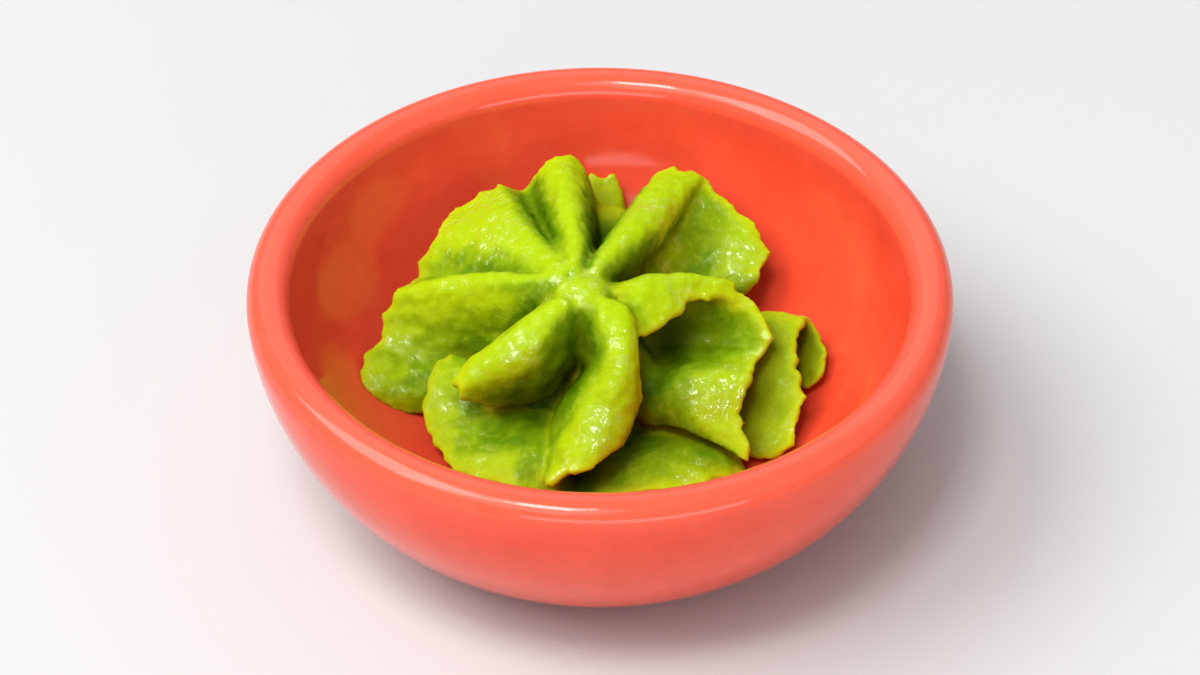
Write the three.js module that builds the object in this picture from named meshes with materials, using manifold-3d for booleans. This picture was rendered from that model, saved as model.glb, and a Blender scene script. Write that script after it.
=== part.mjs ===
// A round glazed dipping bowl that holds one piped rosette of green wasabi paste.
// Millimetres, +Z up. The origin is the centre of the bowl's foot, on the surface it stands on.

import * as THREE from 'three';
import { mergeVertices } from 'three/addons/utils/BufferGeometryUtils.js';
import Module from 'manifold-3d';

const wasm = await Module();
wasm.setup();

// ---------------------------------------------------------------- driving dimensions

// The bowl: a thick wall of revolution with a rounded lip and a low foot ring.
const RIM_RADIUS = 38;
const BOWL_HEIGHT = 27;
const LIP_RADIUS = 2.35; // the lip is a half circle, so the wall is twice this at the top
const FOOT_HEIGHT = 1.2;
const FOOT_INNER_RADIUS = 18.6;
const FOOT_OUTER_RADIUS = 20.2;
const FOOT_BEVEL = 0.6; // how far the foot ring's two sides lean out from its flat face
const OUTER_SWELL = 1.73; // 1 is a straight cone, 2 is a quarter of an ellipse
const FLOOR_HEIGHT = 5.5;
const FLOOR_RADIUS = 11; // the flat middle of the inside
const INNER_SWELL = 1.9;
const BOWL_SEGMENTS = 64;
const WALL_STEPS = 9;
const LIP_STEPS = 6;

// The paste: sheets as thick as the slots of a piping tip, which thin out to a torn edge.
const GAP = 0.3; // clear space between the paste and the bowl
const HUB = new THREE.Vector2(-1.8, 2); // the point in plan that every fold springs from
const ROOT_THICKNESS = 1.2;
const MIDDLE_THICKNESS = 1.8;
const EDGE_THICKNESS = 0.9;
const MIDDLE_SHARE = 0.5; // how far along a sheet it is at its middle thickness
const THINNEST = 0.6;
const TURN_SHARE = 0.5; // half the thickness, at most, as a share of how tightly a sheet turns
const NORMAL_PASSES = 2;
const OWN_WEIGHT = 2; // a normal's own weight in each pass, against 1 for each neighbour
const LEAST_TURN = 1e-6; // keeps a flat stretch from dividing by nothing
const SMALLEST_WEDGE = 0.01; // cubic millimetres
const SHORTEST_EDGE = 0.12;
const CORNERS_OF_TWO_FACES = 4; // what two corners share when only the two faces between them do
const LEAST_FACE_TURN = 0.3; // cosine of how far a face may turn when an edge beside it closes
const WEDGE_OVERLAP = 0.2; // how far the mound reaches into a sheet's first row of faces
const STEPS_ACROSS = 3; // columns of faces from one rib to the next
const STEPS_ALONG = 2; // rows of faces from one point of a rib to the next
const TEETH = [ // waves of the torn edge: pitch and height
  { pitch: 2.3, height: 0.32 },
  { pitch: 3.7, height: 0.22 },
];
const MOUND_SEGMENTS = 20;

// Each fold is one sheet of paste. It springs from its root and runs over its ribs in turn.
// A point is [bearing, reach, height]: degrees from +X and millimetres from the hub, then
// millimetres above the surface that the bowl stands on. The last point of a rib is its edge.
const FOLDS = {
  leftFrill: {
    root: [120, 2, 22.8],
    ribs: [
      [[84, 6.5, 17], [84, 13, 14], [84, 22, 12]],
      [[90, 6.5, 21.6], [89, 14, 20.8], [90, 24.5, 19.8]],
      [[96, 6.5, 23.4], [95, 14, 23], [96, 25, 21.8]],
      [[103, 6.5, 22.7], [102, 14, 22], [101, 25, 20.5]],
      [[110, 6.5, 20.5], [108, 14, 19], [106, 24, 18]],
      [[118, 6.5, 22.1], [117, 14, 21.4], [114, 23.5, 19.8]],
      [[130, 6.5, 22], [128, 14, 21], [125, 24, 18.6]],
      [[138, 6.5, 21.4], [137, 14, 19.5], [137, 23.5, 16.8]],
      [[147, 6.5, 20.5], [147, 13, 17.6], [148, 22, 14.5]],
      [[157, 6.5, 21.8], [158, 12.5, 20.4], [160, 21.9, 16.2]],
      [[165, 7, 20.2], [164, 12.5, 18.2], [164, 22.4, 14.8]],
      [[171, 7, 16], [168, 12.8, 14.8], [168, 23, 13.4]],
      [[178, 7.4, 11.6], [174, 13.2, 11.4], [174, 23.8, 12.2]],
      [[186, 6.6, 9.4], [182, 14.5, 10.6], [179, 24.2, 11.8]],
      [[192, 7.5, 9], [188, 14.5, 9.6], [186, 24.5, 10.4]],
      [[194, 8.5, 7.5], [191, 14, 7.8], [189, 21, 7.6]],
    ],
  },
  leftTongue: {
    root: [-125, 2.5, 22.6],
    ribs: [
      [[-168, 4, 21.5], [-157, 9, 19.5], [-159, 14, 16]],
      [[-146, 4, 22.1], [-144, 9.5, 20.2], [-149, 16, 15.6]],
      [[-128, 4.5, 21.8], [-131, 9.5, 19.4], [-146, 15, 14]],
      [[-118, 4, 19.3], [-126, 8, 16.2], [-145, 12.8, 12.4]],
      [[-115, 4, 15.5], [-126, 6.8, 12.5], [-150, 9.8, 10.4]],
    ],
  },
  leftLobe: {
    root: [-150, 5, 9.5],
    ribs: [
      [[-166, 10, 12.8], [178, 13.5, 12.6]],
      [[-164, 11.5, 12.6], [180, 15.5, 13.2]],
      [[-156, 12.5, 11.6], [-170, 17.5, 12]],
      [[-145, 13, 10], [-159, 18.5, 10.2]],
      [[-135, 13.5, 9.6], [-150, 19, 8.8]],
      [[-125, 14, 10.2], [-136, 19, 8.6]],
      [[-110, 13.5, 10.2], [-117, 19, 8.6]],
      [[-98, 11.5, 9], [-100, 17.5, 7.6]],
    ],
  },
  frontTongue: {
    root: [-40, 2, 22.4],
    ribs: [
      [[-98, 3, 15.8], [-98, 4.4, 12], [-113, 7.2, 10.4], [-104, 16, 9.6]],
      [[-74, 3.6, 19.6], [-79, 5.2, 16], [-103, 8.5, 13.2], [-102, 18, 10.4]],
      [[-62, 4.7, 21.8], [-72, 7.4, 19], [-92, 10.6, 15.4], [-95, 18.3, 12]],
      [[-49, 5.6, 22.2], [-67, 9.4, 20.2], [-80, 12.6, 16.6], [-87, 17.3, 13]],
      [[-38, 5.8, 22], [-61, 10.2, 19.8], [-70, 13, 16.2], [-78, 15.6, 13]],
      [[-28, 5.6, 20.6], [-55, 10.2, 18.2], [-63, 12, 14.6], [-73, 13.6, 12.2]],
    ],
  },
  rightLobe: {
    root: [-50, 7, 6.6],
    ribs: [
      [[-88, 9.5, 6.6], [-95, 12, 7], [-100, 16.5, 6.8]],
      [[-68, 9.5, 6.8], [-77, 12.5, 7.8], [-85, 17.5, 7.5]],
      [[-46, 9, 7], [-57, 12, 8.4], [-70, 17.6, 8]],
      [[-34, 12, 7.1], [-45, 15.5, 8.7], [-55, 19.3, 8]],
      [[-28, 15.2, 7.1], [-37, 18, 8.4], [-43, 20.8, 7.8]],
      [[-27, 18, 6.9], [-31, 19.6, 7.3], [-34, 21.2, 7]],
    ],
  },
  lip: {
    root: [5, 2, 22.4],
    ribs: [
      [[12, 4.5, 22.5], [-2, 4.2, 22.6], [-24, 4.6, 21.5]],
      [[14, 6.8, 22.4], [-3, 6.2, 22.1], [-36, 8, 20.4]],
      [[15, 9.5, 21.9], [5, 9, 21.7], [-10, 10.2, 20.3]],
      [[15, 12.5, 21.3], [11, 12, 21.1], [5, 13, 20.4]],
      [[13, 16, 20.2], [11, 16, 20], [8, 16.4, 19.7]],
    ],
  },
  trumpet: {
    root: [5, 2, 22.6],
    ribs: [
      [[18, 5, 22.1], [16, 10.5, 21.3], [11, 17, 19.9]],
      [[22, 6, 19.5], [15, 12.5, 19], [5, 19.6, 19]],
      [[19, 7, 15], [8, 13.5, 14.2], [-5, 20.5, 16.9]],
      [[2, 7, 13.2], [-7, 13, 14], [-10, 20, 15.7]],
      [[-18, 7.5, 13.6], [-22, 13, 14.8], [-20, 19.2, 14.9]],
      [[-36, 8, 13.6], [-32, 13.4, 14.1], [-26, 19.5, 13.3]],
      [[-42, 8.4, 12], [-37, 13.5, 12.4], [-33, 21, 11.8]],
      [[-43, 8, 10.2], [-38, 14.2, 10.6], [-38, 22.4, 10.2]],
    ],
  },
  cup: {
    root: [-20, 6, 9],
    ribs: [
      [[-42, 10, 8.4], [-33, 17, 7.8], [-29, 23, 8.2]],
      [[-20, 10, 9], [-19, 18, 9.4], [-25, 25, 10.2]],
      [[-8, 11, 10.8], [-9, 19, 11.4], [-14, 24.6, 12.6]],
      [[4, 12, 12.6], [0, 19.5, 13.8], [-3, 23.5, 15]],
      [[14, 12, 13], [9, 20, 14.8], [6, 23.6, 15.4]],
      [[20, 12, 12], [17, 20.5, 13.6], [12, 25.6, 14]],
      [[22, 12, 10.4], [18, 21, 11.4], [5, 27, 13]],
      [[20, 12, 9], [14, 21, 9.6], [-2, 26.5, 11.8]],
      [[14, 12, 8], [6, 20.5, 8.6], [-4, 24.8, 10]],
    ],
  },
  rightFan: {
    root: [60, 2, 22.8],
    ribs: [
      [[77, 6, 17.5], [77, 14, 15], [76, 23, 13]],
      [[71, 6, 21.9], [72, 14, 20.8], [71, 25, 19.2]],
      [[64, 6, 23.2], [65, 13, 23], [66, 25, 21.2]],
      [[56, 6, 22.4], [55, 13, 22.2], [60, 25.5, 21]],
      [[55, 6.5, 18.8], [57, 13, 17.8], [58, 26, 20.2]],
      [[48, 7, 15], [50, 16, 14.8], [50, 26, 19.2]],
      [[41, 7.5, 13.4], [43, 17, 14.2], [42, 25.5, 17.6]],
      [[36, 8, 13.2], [38, 17, 14.4], [35, 25, 16]],
      [[33, 8, 12], [36, 15.5, 13], [31, 23, 15]],
      [[32, 8, 10.5], [35, 15, 11.2], [32, 21, 12.4]],
    ],
  },
  backPetal: {
    root: [83, 8, 13],
    ribs: [
      [[87, 20.5, 15], [89, 23, 13.4], [91, 25.5, 14]],
      [[84, 20.5, 16], [86.5, 23, 14.2], [88.5, 27, 16.9]],
      [[81, 20.5, 16.3], [83.5, 23, 14.4], [85.5, 27.2, 17.2]],
      [[78, 20.5, 16], [80.5, 23, 14.2], [82, 26.6, 16.8]],
      [[75, 20.5, 14.8], [78, 22.5, 13.2], [79.5, 24.8, 14.2]],
    ],
  },
  backLeftLobe: {
    root: [125, 7, 9.5],
    ribs: [
      [[97, 13, 10.5], [95, 20, 11]],
      [[108, 14, 13], [108, 22, 12.2]],
      [[120, 14, 11], [120, 21, 10.6]],
      [[132, 14, 13], [132, 22, 12.4]],
      [[144, 14, 11], [145, 21, 10.8]],
      [[154, 13, 9.5], [156, 19.5, 9.4]],
    ],
  },
  backRightLobe: {
    root: [52, 7, 9.5],
    ribs: [
      [[72, 13, 10.5], [74, 19.5, 11.2]],
      [[62, 14, 13], [62, 22, 12.6]],
      [[51, 14, 11], [51, 21, 10.8]],
      [[40, 14, 12.6], [40, 22, 12.4]],
      [[30, 13, 9.6], [29, 20.5, 10.2]],
    ],
  },
};

// The solid middle of the rosette: a mound round the hub, and a shoulder behind it that carries the
// tall folds at the back. An outline holds [radius, height] points, and set is its axis from the hub.
const MOUNDS = [
  {
    set: [0, 0],
    outline: [
      [0, 5.6], [9.5, 5.9], [10.2, 6.8], [7.4, 9], [5, 12], [3.7, 15.5], [3.1, 19], [3.3, 21.9],
      [3, 22.9], [1.9, 23.6], [0, 24],
    ],
  },
  {
    set: [-0.8, 3],
    outline: [[0, 6.2], [5.6, 6.6], [5.8, 12], [5.2, 17], [4.7, 20.4], [3.5, 22.2], [0, 23]],
  },
];

// ---------------------------------------------------------------- meshes and solids

// Only positions, with shared vertices merged and the empty faces on an axis left out.
function weld(geometry) {
  const bare = geometry.clone();
  bare.deleteAttribute('normal');
  bare.deleteAttribute('uv');
  const merged = mergeVertices(bare);
  const corners = merged.index.array;
  const faces = [];
  for (let i = 0; i < corners.length; i += 3) {
    const [a, b, c] = corners.slice(i, i + 3);
    if (a !== b && b !== c && c !== a) faces.push(a, b, c);
  }
  merged.setIndex(faces);
  return merged;
}

function toSolid(geometry) {
  const vertProperties = new Float32Array(geometry.attributes.position.array);
  const triVerts = new Uint32Array(geometry.index.array);
  return new wasm.Manifold(new wasm.Mesh({ numProp: 3, vertProperties, triVerts }));
}

function fromSolid(solid) {
  const { vertProperties, triVerts } = solid.getMesh();
  const points = Array.from({ length: vertProperties.length / 3 }, (_, i) => (
    new THREE.Vector3().fromArray(vertProperties, 3 * i)));
  const faces = Array.from({ length: triVerts.length / 3 }, (_, i) => [...triVerts.slice(3 * i, 3 * i + 3)]);
  return { points, faces };
}

function toGeometry({ points, faces }) {
  return new THREE.BufferGeometry().setFromPoints(points).setIndex(faces.flat());
}

// The largest closed surface of a mesh, without the pockets and scraps that joining leaves.
function outerSkin({ points, faces }) {
  const parent = points.map((_, i) => i);
  const find = (i) => {
    let top = i;
    while (parent[top] !== top) top = parent[top];
    parent[i] = top;
    return top;
  };
  for (const [a, b, c] of faces) {
    parent[find(a)] = find(b);
    parent[find(b)] = find(c);
  }
  const skins = Map.groupBy(faces, ([a]) => find(a));
  return { points, faces: [...skins.values()].sort((a, b) => b.length - a.length)[0] };
}

// Draws the ends of very short edges together, wherever that leaves the surface closed.
function closeShortEdges({ points, faces }) {
  const facesAt = points.map(() => new Set());
  faces.forEach((face) => face.forEach((corner) => facesAt[corner].add(face)));
  const around = (corner) => new Set([...facesAt[corner]].flat());
  const normal = ([a, b, c], moved, to) => {
    const [p, q, r] = [a, b, c].map((corner) => (corner === moved ? to : points[corner]));
    return q.clone().sub(p).cross(r.clone().sub(p)).normalize();
  };
  const folds = (corner, other, to) => [...facesAt[corner]].some((face) => (
    !face.includes(other) && normal(face, corner, to).dot(normal(face)) < LEAST_FACE_TURN));
  const close = (a, b) => {
    const shared = [...around(a)].filter((corner) => around(b).has(corner));
    const middle = points[a].clone().lerp(points[b], 0.5);
    if (shared.length !== CORNERS_OF_TWO_FACES || folds(a, b, middle) || folds(b, a, middle)) return false;
    points[a].copy(middle);
    for (const face of [...facesAt[b]]) {
      face.forEach((corner) => facesAt[corner].delete(face));
      if (!face.includes(a)) {
        face[face.indexOf(b)] = a;
        face.forEach((corner) => facesAt[corner].add(face));
      }
    }
    return true;
  };
  let closed = true;
  while (closed) {
    closed = false;
    for (let a = 0; a < points.length; a += 1) {
      const short = [...around(a)].find((b) => (
        b !== a && points[a].distanceTo(points[b]) < SHORTEST_EDGE && close(a, b)));
      if (short !== undefined) closed = true;
    }
  }
  return { points, faces: [...new Set(facesAt.flatMap((set) => [...set]))] };
}

// A closed body of revolution round +Z, from an outline of [radius, height] points.
function lathe(outline, segments) {
  const points = outline.map(([radius, height]) => new THREE.Vector2(radius, height));
  return weld(new THREE.LatheGeometry(points, segments).rotateX(Math.PI / 2));
}

// ---------------------------------------------------------------- bowl

// A wall's outline, as a quarter of a superellipse that leaves the level and ends upright.
function wallOutline([fromRadius, fromHeight], [toRadius, toHeight], swell) {
  return Array.from({ length: WALL_STEPS + 1 }, (_, step) => {
    const turn = (Math.PI / 2) * (step / WALL_STEPS);
    const outward = Math.sin(turn) ** (2 / swell);
    const upward = 1 - Math.max(Math.cos(turn), 0) ** (2 / swell);
    return [fromRadius + (toRadius - fromRadius) * outward, fromHeight + (toHeight - fromHeight) * upward];
  });
}

const LIP_HEIGHT = BOWL_HEIGHT - LIP_RADIUS; // where the walls end and the round lip starts
const MOUTH_RADIUS = RIM_RADIUS - 2 * LIP_RADIUS;

function innerWall(gap) {
  const floorEdge = [FLOOR_RADIUS, FLOOR_HEIGHT + gap];
  return wallOutline(floorEdge, [MOUTH_RADIUS - gap, LIP_HEIGHT], INNER_SWELL);
}

function makeBowl() {
  const footEdge = [FOOT_OUTER_RADIUS + FOOT_BEVEL, FOOT_HEIGHT];
  const lip = Array.from({ length: LIP_STEPS - 1 }, (_, step) => {
    const turn = Math.PI * ((step + 1) / LIP_STEPS);
    const middle = RIM_RADIUS - LIP_RADIUS;
    return [middle + LIP_RADIUS * Math.cos(turn), LIP_HEIGHT + LIP_RADIUS * Math.sin(turn)];
  });
  const outline = [
    [0, FOOT_HEIGHT],
    [FOOT_INNER_RADIUS - FOOT_BEVEL, FOOT_HEIGHT],
    [FOOT_INNER_RADIUS, 0],
    [FOOT_OUTER_RADIUS, 0],
    ...wallOutline(footEdge, [RIM_RADIUS, LIP_HEIGHT], OUTER_SWELL),
    ...lip,
    ...innerWall(0).reverse(),
    [0, FLOOR_HEIGHT],
  ];
  return lathe(outline, BOWL_SEGMENTS);
}

// ---------------------------------------------------------------- rosette

function place([bearing, reach, height]) {
  const turn = THREE.MathUtils.degToRad(bearing);
  return new THREE.Vector3(HUB.x + reach * Math.cos(turn), HUB.y + reach * Math.sin(turn), height);
}

// Points on a smooth curve through the given ones, in equal steps from each to the next.
function smooth(points, steps) {
  return new THREE.CatmullRomCurve3(points, false, 'catmullrom').getPoints((points.length - 1) * steps);
}

// The middle surface of a fold, as rows of points: from the mound round the hub to the edge.
function foldSheet(ribs) {
  const rails = ribs.map((rib) => smooth(rib.map(place), STEPS_ALONG));
  return rails[0].map((_, row) => smooth(rails.map((rail) => rail[row]), STEPS_ACROSS));
}

// Pushes the edge row out and in along its ribs, so that it ends in small torn teeth.
function tearEdge(sheet) {
  const [inner, edge] = sheet.slice(-2);
  let travelled = 0;
  const torn = edge.map((point, column) => {
    if (column > 0) travelled += point.distanceTo(edge[column - 1]);
    const tooth = TEETH.reduce((sum, { pitch, height }) => (
      sum + height * Math.sin((2 * Math.PI * travelled) / pitch)), 0);
    const outward = point.clone().sub(inner[column]).normalize();
    return point.clone().addScaledVector(outward, tooth);
  });
  return [...sheet.slice(0, -1), torn];
}

// The step between the two neighbours of item i, or from the item itself at an end.
function stepAt(points, i) {
  const after = points[Math.min(i + 1, points.length - 1)];
  return after.clone().sub(points[Math.max(i - 1, 0)]);
}

// Unit normals, evened out along each row so that the two faces of a tight fold stay apart.
function sheetNormals(sheet) {
  let normals = sheet.map((line, row) => line.map((_, column) => {
    const along = stepAt(sheet.map((other) => other[column]), row);
    return stepAt(line, column).cross(along).normalize();
  }));
  for (let pass = 0; pass < NORMAL_PASSES; pass += 1) {
    normals = normals.map((line) => line.map((normal, column) => {
      const [before, after] = [line[column - 1] ?? normal, line[column + 1] ?? normal];
      return normal.clone().multiplyScalar(OWN_WEIGHT).add(before).add(after).normalize();
    }));
  }
  return normals;
}

// Half the paste's thickness at a share of the way from the mound to the edge.
function fullHalf(share) {
  const [from, to, way] = share < MIDDLE_SHARE
    ? [ROOT_THICKNESS, MIDDLE_THICKNESS, share / MIDDLE_SHARE]
    : [MIDDLE_THICKNESS, EDGE_THICKNESS, (share - MIDDLE_SHARE) / (1 - MIDDLE_SHARE)];
  return THREE.MathUtils.lerp(from, to, way) / 2;
}

// How far from a point the offset lines of the point and one neighbour would meet.
function turnRadius(point, normal, otherPoint, otherNormal) {
  const turn = otherNormal.clone().sub(normal);
  const apart = otherPoint.clone().sub(point);
  return Math.abs(apart.dot(turn)) / Math.max(turn.lengthSq(), LEAST_TURN);
}

// The two faces of the paste round a sheet, closer together where the sheet turns tightly.
function sheetFaces(sheet) {
  const normals = sheetNormals(sheet);
  const offsets = sheet.map((line, row) => line.map((point, column) => {
    const near = [[0, 1], [0, -1], [1, 0], [-1, 0], [1, 1], [1, -1], [-1, 1], [-1, -1]];
    const radii = near
      .map(([down, across]) => [row + down, column + across])
      .filter(([r, c]) => sheet[r]?.[c])
      .map(([r, c]) => turnRadius(point, normals[row][column], sheet[r][c], normals[r][c]));
    const half = Math.min(fullHalf(row / (sheet.length - 1)), TURN_SHARE * Math.min(...radii));
    return normals[row][column].clone().multiplyScalar(Math.max(half, THINNEST / 2));
  }));
  const shifted = (sign) => sheet.map((line, row) => line.map((point, column) => (
    point.clone().addScaledVector(offsets[row][column], sign))));
  return [shifted(1), shifted(-1)];
}

// A closed solid between two faces, both split along the same diagonals.
function slab(front, back) {
  const rows = front.length;
  const columns = front[0].length;
  const at = (row, column) => row * columns + column;
  const behind = rows * columns;
  const faces = [];
  for (let row = 0; row < rows - 1; row += 1) {
    for (let column = 0; column < columns - 1; column += 1) {
      const [a, b] = [at(row, column), at(row, column + 1)];
      const [c, d] = [at(row + 1, column + 1), at(row + 1, column)];
      faces.push(a, b, c, a, c, d);
      faces.push(a + behind, c + behind, b + behind, a + behind, d + behind, c + behind);
    }
  }
  const rim = [];
  for (let column = 0; column < columns - 1; column += 1) rim.push(at(0, column));
  for (let row = 0; row < rows - 1; row += 1) rim.push(at(row, columns - 1));
  for (let column = columns - 1; column > 0; column -= 1) rim.push(at(rows - 1, column));
  for (let row = rows - 1; row > 0; row -= 1) rim.push(at(row, 0));
  rim.forEach((a, i) => {
    const b = rim[(i + 1) % rim.length];
    faces.push(b, a, a + behind, b, a + behind, b + behind);
  });
  return new THREE.BufferGeometry().setFromPoints([...front.flat(), ...back.flat()]).setIndex(faces);
}

// Four corners as a solid, turned to face out, or null where they lie almost in one plane.
function tetrahedron(a, b, c, d) {
  const volume = b.clone().sub(a).cross(c.clone().sub(a)).dot(d.clone().sub(a)) / 6;
  if (Math.abs(volume) < SMALLEST_WEDGE) return null;
  const corners = volume > 0 ? [a, b, c, d] : [a, c, b, d];
  return new THREE.BufferGeometry().setFromPoints(corners).setIndex([0, 2, 1, 0, 1, 3, 1, 2, 3, 0, 3, 2]);
}

// One fold as solids that overlap: its slab, and the wedges of the mound that carry the slab's
// first row, between the fold's root and the middle of the floor.
function foldSolids({ root, ribs }) {
  const sheet = tearEdge(foldSheet(ribs));
  const base = new THREE.Vector3(HUB.x, HUB.y, FLOOR_HEIGHT);
  const carried = sheet[0]
    .map((point, column) => point.clone().lerp(sheet[1][column], WEDGE_OVERLAP))
    .filter((_, column) => column % STEPS_ACROSS === 0);
  const wedges = carried.slice(1).map((point, i) => tetrahedron(base, carried[i], point, place(root)));
  return [slab(...sheetFaces(sheet)), ...wedges.filter(Boolean)].map(toSolid);
}

// The space inside the bowl that the paste may fill, open at the top.
function makeCavity() {
  const aboveAll = 2 * BOWL_HEIGHT;
  const outline = [[0, FLOOR_HEIGHT + GAP], ...innerWall(GAP), [MOUTH_RADIUS - GAP, aboveAll], [0, aboveAll]];
  return toSolid(lathe(outline, BOWL_SEGMENTS));
}

function makeRosette() {
  const mounds = MOUNDS.map(({ set: [across, back], outline }) => (
    toSolid(lathe(outline, MOUND_SEGMENTS).translate(HUB.x + across, HUB.y + back, 0))));
  const solids = [...mounds, ...Object.values(FOLDS).flatMap(foldSolids)];
  const rosette = solids.reduce((whole, solid) => whole.add(solid)).intersect(makeCavity());
  return toGeometry(closeShortEdges(outerSkin(fromSolid(rosette))));
}

// ---------------------------------------------------------------- scene

function named(name, geometry, material) {
  const mesh = new THREE.Mesh(geometry, material);
  mesh.name = name;
  return mesh;
}

const glaze = new THREE.MeshStandardMaterial({ color: 0xd6452c, roughness: 0.25, metalness: 0 });
const paste = new THREE.MeshStandardMaterial({ color: 0x9cc218, roughness: 0.4, metalness: 0 });

const part = new THREE.Group();
part.add(named('bowl', makeBowl(), glaze));
part.add(named('wasabi_rosette', makeRosette(), paste));

export default part;
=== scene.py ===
"""A round glazed dipping bowl with a piped rosette of wasabi paste, in a soft studio light.

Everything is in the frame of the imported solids, +Z up: the origin is the centre of the bowl's
foot, on the surface that it stands on. Shapes are worked out in millimetres and scaled to metres
when their mesh is made. The bowl and the rosette each replace their plain solid with a finer
surface of the same form, drawn from the same sizes.
"""

import math

import bmesh
import bpy
import numpy as np
from mathutils import Matrix, Vector, noise
from mathutils.bvhtree import BVHTree
from mathutils.kdtree import KDTree


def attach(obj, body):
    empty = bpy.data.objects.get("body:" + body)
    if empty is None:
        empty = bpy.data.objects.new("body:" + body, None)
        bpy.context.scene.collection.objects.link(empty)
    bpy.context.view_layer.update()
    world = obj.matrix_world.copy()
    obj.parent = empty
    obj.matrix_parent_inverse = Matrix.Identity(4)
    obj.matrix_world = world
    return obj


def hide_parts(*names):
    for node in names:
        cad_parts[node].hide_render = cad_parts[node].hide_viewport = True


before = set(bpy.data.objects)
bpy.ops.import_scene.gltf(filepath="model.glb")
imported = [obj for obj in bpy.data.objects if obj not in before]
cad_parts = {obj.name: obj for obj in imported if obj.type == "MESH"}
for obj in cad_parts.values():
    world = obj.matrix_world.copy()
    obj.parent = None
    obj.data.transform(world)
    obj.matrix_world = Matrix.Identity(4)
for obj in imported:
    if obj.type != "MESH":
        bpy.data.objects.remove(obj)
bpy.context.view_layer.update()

MM = 0.001
WELD_DISTANCE = 1e-7  # metres

# ------------------------------------------------------------------ sizes of the bowl, mm

RIM_RADIUS = 38
BOWL_HEIGHT = 27
LIP_RADIUS = 2.35
FOOT_HEIGHT = 1.2
FOOT_INNER_RADIUS = 18.6
FOOT_OUTER_RADIUS = 20.2
FOOT_BEVEL = 0.6
OUTER_SWELL = 1.73
FLOOR_HEIGHT = 5.5
FLOOR_RADIUS = 11
INNER_SWELL = 1.9
LIP_HEIGHT = BOWL_HEIGHT - LIP_RADIUS
MOUTH_RADIUS = RIM_RADIUS - 2 * LIP_RADIUS
RING_SHARES = (0.25, 0.5, 0.75)  # rings of points on the flat discs of the floor and the recess
WALL_STEPS = 40
LIP_STEPS = 20
BOWL_SEGMENTS = 192
PALE_LIP = (22, 27)  # the glaze turns paler from the first height to the second
BARE_CLAY = (0.25, 0.15)  # the glaze gives way to clay from the first height down to the second

# ------------------------------------------------------------------ sizes of the paste, mm

HUB = (-1.8, 2.0)
ROOT_THICKNESS = 2.2
MIDDLE_THICKNESS = 1.8
EDGE_THICKNESS = 0.75
MIDDLE_SHARE = 0.5  # how far along a fold it is at its middle thickness
SHOULDER_SHARE = 0.85  # how far along a fold it starts to thin out fast
ROOT_START = 0.15  # share of the way from a fold's root to the first point of its ribs
STEPS_ACROSS = 20
STEPS_ALONG = 12
MOUND_SEGMENTS = 64
VOXEL = 0.34
TOUCH_GAP = 0.05  # clear space between the paste and the glaze

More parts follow.
